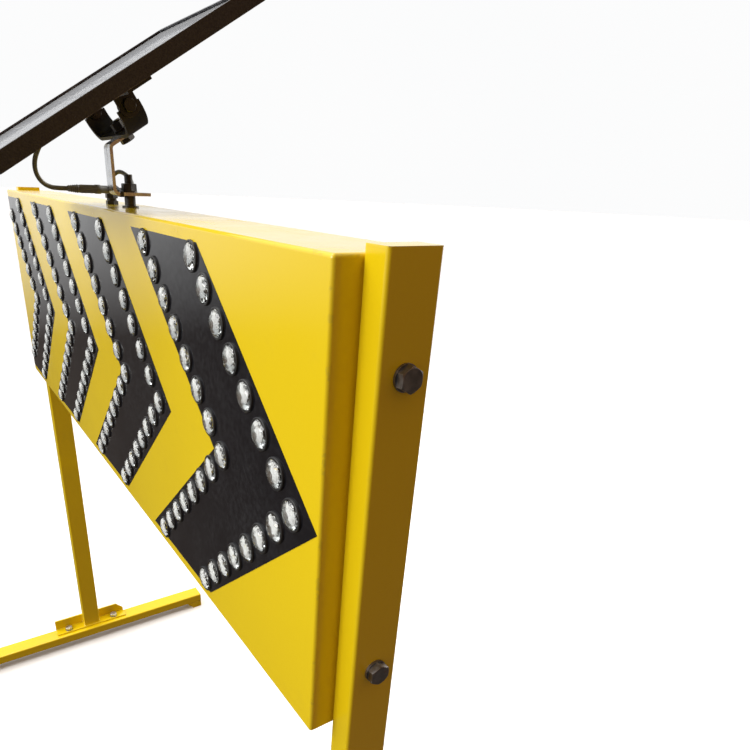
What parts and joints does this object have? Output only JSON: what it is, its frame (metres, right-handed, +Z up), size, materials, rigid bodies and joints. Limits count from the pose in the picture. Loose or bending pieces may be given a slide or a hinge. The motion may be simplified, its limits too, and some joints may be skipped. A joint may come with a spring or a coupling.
{
  "type": "arrow board",
  "caption": "Solar-powered LED chevron arrow board in a flat sheet-metal cabinet on a two-post stand with cross feet and a tilting, swivelling solar panel.",
  "frame": {"origin": "on the ground under the middle of the stand", "axes": "+X along the board, the way the chevrons point; lamps face -Y; +Z up"},
  "size_m": [1.3468, 0.69, 1.4791],
  "materials": {
    "backsheet_white": "film",
    "band_webbing": "webbing",
    "battery_case": "moulded",
    "bezel_black": "moulded",
    "black_anodised": "black anodised",
    "black_bracket": "black powder coat",
    "black_steel": "black oxide",
    "cable_jacket": "jacket",
    "cell_blue": "silicon",
    "circuit_board": "solder mask",
    "connector_grey": "moulded",
    "controller_plastic": "moulded",
    "duct_plastic": "moulded",
    "film_black": "gloss film",
    "galvanised": "bright zinc",
    "gasket_rubber": "matt foam rubber",
    "gland_plastic": "nylon",
    "junction_plastic": "moulded",
    "led_emitter": "silicone over chip",
    "lens_clear": "clear faceted",
    "panel_screw_steel": "zinc plated",
    "reflector_silver": "metallised",
    "solar_glass": "clear",
    "standoff_nylon": "nylon",
    "switch_metal": "nickel plated",
    "tie_nylon": "nylon",
    "yellow_enamel": "gloss enamel",
    "zinc_bright": "bright zinc",
    "zinc_dark": "dark zinc"
  },
  "bodies": {
    "root": {"access_panel": "yellow_enamel", "access_screws": "panel_screw_steel", "battery": "battery_case", "battery_band": "band_webbing", "battery_tray": "galvanised", "board_standoffs": "standoff_nylon", "cabinet_bolts": "zinc_dark", "cabinet_cable": "cable_jacket", "cabinet_nuts": "zinc_dark", "cabinet_shell": "yellow_enamel", "cable_gland": "gland_plastic", "chevron_film_1": "film_black", "chevron_film_2": "film_black", "chevron_film_3": "film_black", "chevron_film_4": "film_black", "controller_case": "controller_plastic", "controller_cover": "controller_plastic", "end_plates": "yellow_enamel", "flat_washers": "zinc_dark", "foot_angle_left": "yellow_enamel", "foot_angle_right": "yellow_enamel", "foot_bar_left": "yellow_enamel", "foot_bar_right": "yellow_enamel", "foot_bolts": "zinc_bright", "foot_nuts": "zinc_bright", "foot_tabs": "yellow_enamel", "lamp_bezels_1": "bezel_black", "lamp_bezels_2": "bezel_black", "lamp_bezels_3": "bezel_black", "lamp_bezels_4": "bezel_black", "lamp_lenses_1": "lens_clear", "lamp_lenses_2": "lens_clear", "lamp_lenses_3": "lens_clear", "lamp_lenses_4": "lens_clear", "lamp_reflectors": "reflector_silver", "led_boards": "circuit_board", "led_chips": "led_emitter", "panel_gasket": "gasket_rubber", "post_left": "yellow_enamel", "post_right": "yellow_enamel", "rear_frame": "yellow_enamel", "switch_body": "switch_metal", "swivel_bush": "black_steel", "swivel_nuts": "black_steel", "swivel_stud": "black_steel", "wiring_duct": "duct_plastic"},
    "swivel": {"solar_strap": "galvanised", "solar_yoke": "black_bracket", "yoke_bolt": "black_steel", "inline_connector": "connector_grey", "cable_tie": "tie_nylon", "panel_cable": "cable_jacket"},
    "panel": {"cross_rail": "black_bracket", "tilt_bolts": "black_steel", "solar_frame": "black_anodised", "solar_glass": "solar_glass", "solar_cells": "cell_blue", "solar_backsheet": "backsheet_white", "junction_box": "junction_plastic"},
    "switch": {"switch_lever": "switch_metal"}
  },
  "joints": [
    {"name": "solar_swivel", "type": "hinge", "parent": "root", "child": "swivel", "pos_m": [0.095, 0, 1.267], "axis": [0, 0, 1], "range_deg": [-50, 50], "deforming": ["cabinet_cable"]},
    {"name": "solar_tilt", "type": "hinge", "parent": "swivel", "child": "panel", "pos_m": [0.095, -0.0159, 1.36019], "axis": [1, 0, 0], "range_deg": [-32, 8], "deforming": ["panel_cable"]},
    {"name": "switch_toggle", "type": "hinge", "parent": "root", "child": "switch", "pos_m": [-0.22, 0.012, 0.848], "axis": [0, 1, 0], "range_deg": [-24, 0]}
  ]
}
